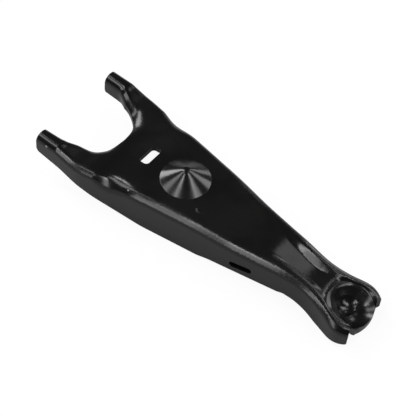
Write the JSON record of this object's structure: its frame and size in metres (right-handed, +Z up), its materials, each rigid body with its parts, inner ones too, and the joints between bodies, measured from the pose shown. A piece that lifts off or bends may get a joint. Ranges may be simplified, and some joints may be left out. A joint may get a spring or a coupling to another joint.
{
  "type": "clutch release fork",
  "caption": "Pressed steel lever with two tines round an open mouth, a domed ball socket, flanged sides and a cup at its narrow end.",
  "frame": {"origin": "centre of the ball that seats in the pivot dome's underside", "axes": "+X from the pivot to the push-rod cup, +Z up out of the dome, tines towards -X"},
  "size_m": [0.1894, 0.062, 0.0296],
  "materials": {
    "black_paint": "smooth gloss black paint"
  },
  "bodies": {
    "root": {"fork_stamping": "black_paint"}
  },
  "joints": []
}
